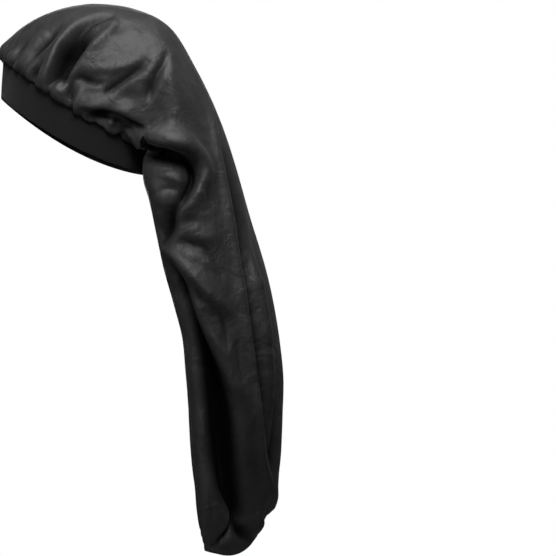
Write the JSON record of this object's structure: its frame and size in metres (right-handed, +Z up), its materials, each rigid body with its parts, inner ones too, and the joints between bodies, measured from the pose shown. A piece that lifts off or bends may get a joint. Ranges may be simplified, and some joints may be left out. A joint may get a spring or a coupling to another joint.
{
  "type": "long satin bonnet",
  "caption": "Long gathered satin bonnet in its worn form: a full crown that falls into a pleated tail down the back, sewn to a wide knitted elastic band.",
  "frame": {"origin": "the middle of the head opening, at half the band's width", "axes": "+Z up as worn, the wearer faces -Y, +X is the wearer's left; the tail hangs behind at +Y"},
  "size_m": [0.1952, 0.2823, 0.5451],
  "materials": {
    "satin": "black satin with a soft grey sheen",
    "band_knit": "matte black ribbed elastic knit"
  },
  "bodies": {
    "root": {"satin_bag": "satin", "elastic_band": "band_knit"}
  },
  "joints": []
}
